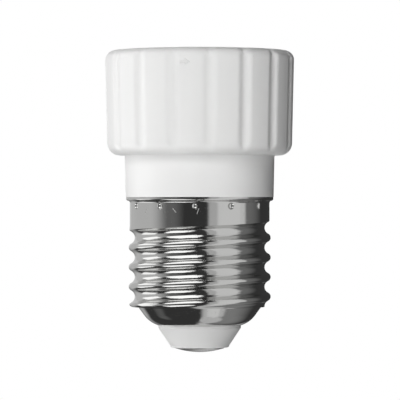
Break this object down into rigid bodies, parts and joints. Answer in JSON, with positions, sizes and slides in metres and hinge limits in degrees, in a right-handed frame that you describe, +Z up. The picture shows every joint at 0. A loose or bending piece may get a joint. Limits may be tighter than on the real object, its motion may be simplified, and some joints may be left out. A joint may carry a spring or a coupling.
{
  "type": "lamp socket adapter",
  "caption": "Lamp socket adapter: screw cap below, plain neck, and a fluted head with a recessed twist-lock socket for a lamp with two pins.",
  "frame": {"origin": "lowest point of the centre contact, on the screw axis", "axes": "+Z up along the screw axis, from the centre contact to the head; -Y is the pictured front"},
  "size_m": [0.0348, 0.0348, 0.0557],
  "materials": {
    "white_plastic": "satin white moulded PBT",
    "face_plastic": "satin white moulded plastic",
    "carrier_plastic": "matt cream moulded plastic",
    "tip_plastic": "satin white moulded plastic",
    "nickel_plate": "bright nickel plate on rolled sheet",
    "contact_plate": "nickel plate, slightly dull",
    "spring_bronze": "bright phosphor bronze strip",
    "zinc_steel": "zinc-plated steel",
    "copper": "tinned copper wire",
    "lead_sleeve": "white silicone sleeve",
    "solder": "dull soft solder"
  },
  "bodies": {
    "root": {"housing": "white_plastic", "screw_shell": "nickel_plate", "tip_insulator": "tip_plastic", "centre_contact": "contact_plate", "socket_face": "face_plastic", "contact_carrier": "carrier_plastic", "line_contact": "spring_bronze", "neutral_contact": "spring_bronze", "contact_rivets": "zinc_steel", "face_screws": "zinc_steel", "lead_crimps": "zinc_steel", "line_core": "copper", "line_insulation": "lead_sleeve", "neutral_core": "copper", "neutral_insulation": "lead_sleeve", "shell_solder": "solder"}
  },
  "joints": []
}
